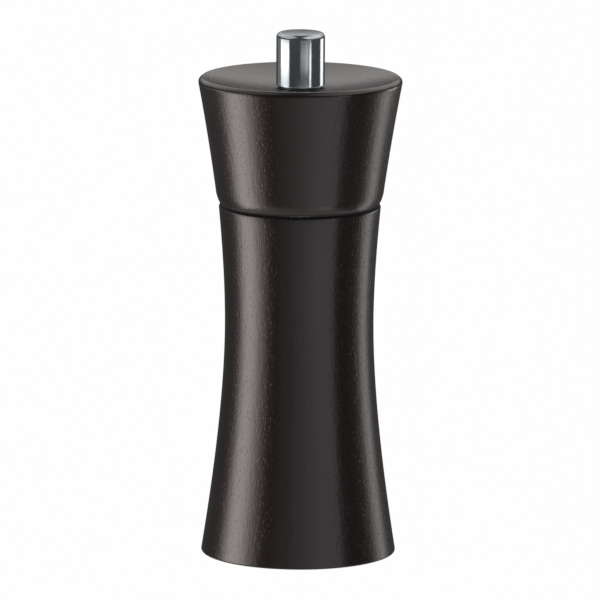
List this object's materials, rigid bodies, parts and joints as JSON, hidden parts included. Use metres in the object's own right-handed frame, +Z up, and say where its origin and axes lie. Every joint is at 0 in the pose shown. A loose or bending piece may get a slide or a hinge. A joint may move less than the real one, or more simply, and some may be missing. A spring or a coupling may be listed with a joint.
{
  "type": "pepper mill",
  "caption": "Hand-turned wooden pepper mill with a waisted body, a dished turning head, a steel adjusting knob, a square shaft and ceramic burrs in its foot.",
  "frame": {"origin": "centre of the foot, on the surface that the mill stands on", "axes": "+Z up along the turning axis, towards the knob; the mill is turned, so +X and +Y are free, and one spoke and one screw of each ring of three lie towards +Y"},
  "size_m": [0.0542, 0.0542, 0.14],
  "materials": {
    "stained_wood": "dark espresso stain under satin lacquer, fine straight grain",
    "knob_steel": "turned and polished stainless steel",
    "steel": "stamped stainless sheet, satin",
    "spring_steel": "drawn stainless wire",
    "screw_steel": "zinc-plated steel",
    "shaft_aluminium": "drawn square bar, satin",
    "black_polymer": "moulded acetal, fine matte grain",
    "natural_polymer": "natural nylon",
    "burr_ceramic": "fired, unglazed"
  },
  "bodies": {
    "mill_body": {"mill_body": "stained_wood", "slide_ring": "black_polymer", "grinder_housing": "black_polymer", "stator_ring": "burr_ceramic", "bottom_bridge": "steel", "housing_screws": "screw_steel"},
    "spring_carrier": {"thrust_washer": "natural_polymer", "rotor_spring": "spring_steel"},
    "rotor_set": {"drive_shaft": "shaft_aluminium", "rotor_core": "black_polymer", "rotor_cone": "burr_ceramic", "spring_seat": "steel", "core_washer": "screw_steel", "core_screw": "screw_steel"},
    "head": {"head": "stained_wood", "driver_plate": "steel", "driver_screws": "screw_steel"},
    "knob_washer": {"knob_washer": "black_polymer"},
    "knob": {"adjuster_knob": "knob_steel", "lock_ring": "natural_polymer"}
  },
  "joints": [
    {"name": "head_turn", "type": "hinge", "parent": "mill_body", "child": "spring_carrier", "pos_m": [0, 0, 0.094], "axis": [0, 0, 1], "continuous": true},
    {"name": "rotor_lift", "type": "slide", "parent": "spring_carrier", "child": "rotor_set", "axis": [0, 0, 1], "range_m": [-0.00125, 0.00035], "deforming": ["rotor_spring"]},
    {"name": "head_lift", "type": "slide", "parent": "spring_carrier", "child": "head", "axis": [0, 0, 1], "range_m": [0, 0.06]},
    {"name": "knob_lift", "type": "slide", "parent": "head", "child": "knob_washer", "axis": [0, 0, 1], "range_m": [0, 0.03]},
    {"name": "knob_turn", "type": "hinge", "parent": "knob_washer", "child": "knob", "pos_m": [0, 0, 0.1259], "axis": [0, 0, 1], "range_deg": [-157.5, 562.5]}
  ],
  "couplings": [
    {"joint": "rotor_lift", "follows": "knob_turn", "m_per_rad": -0.00012732}
  ]
}
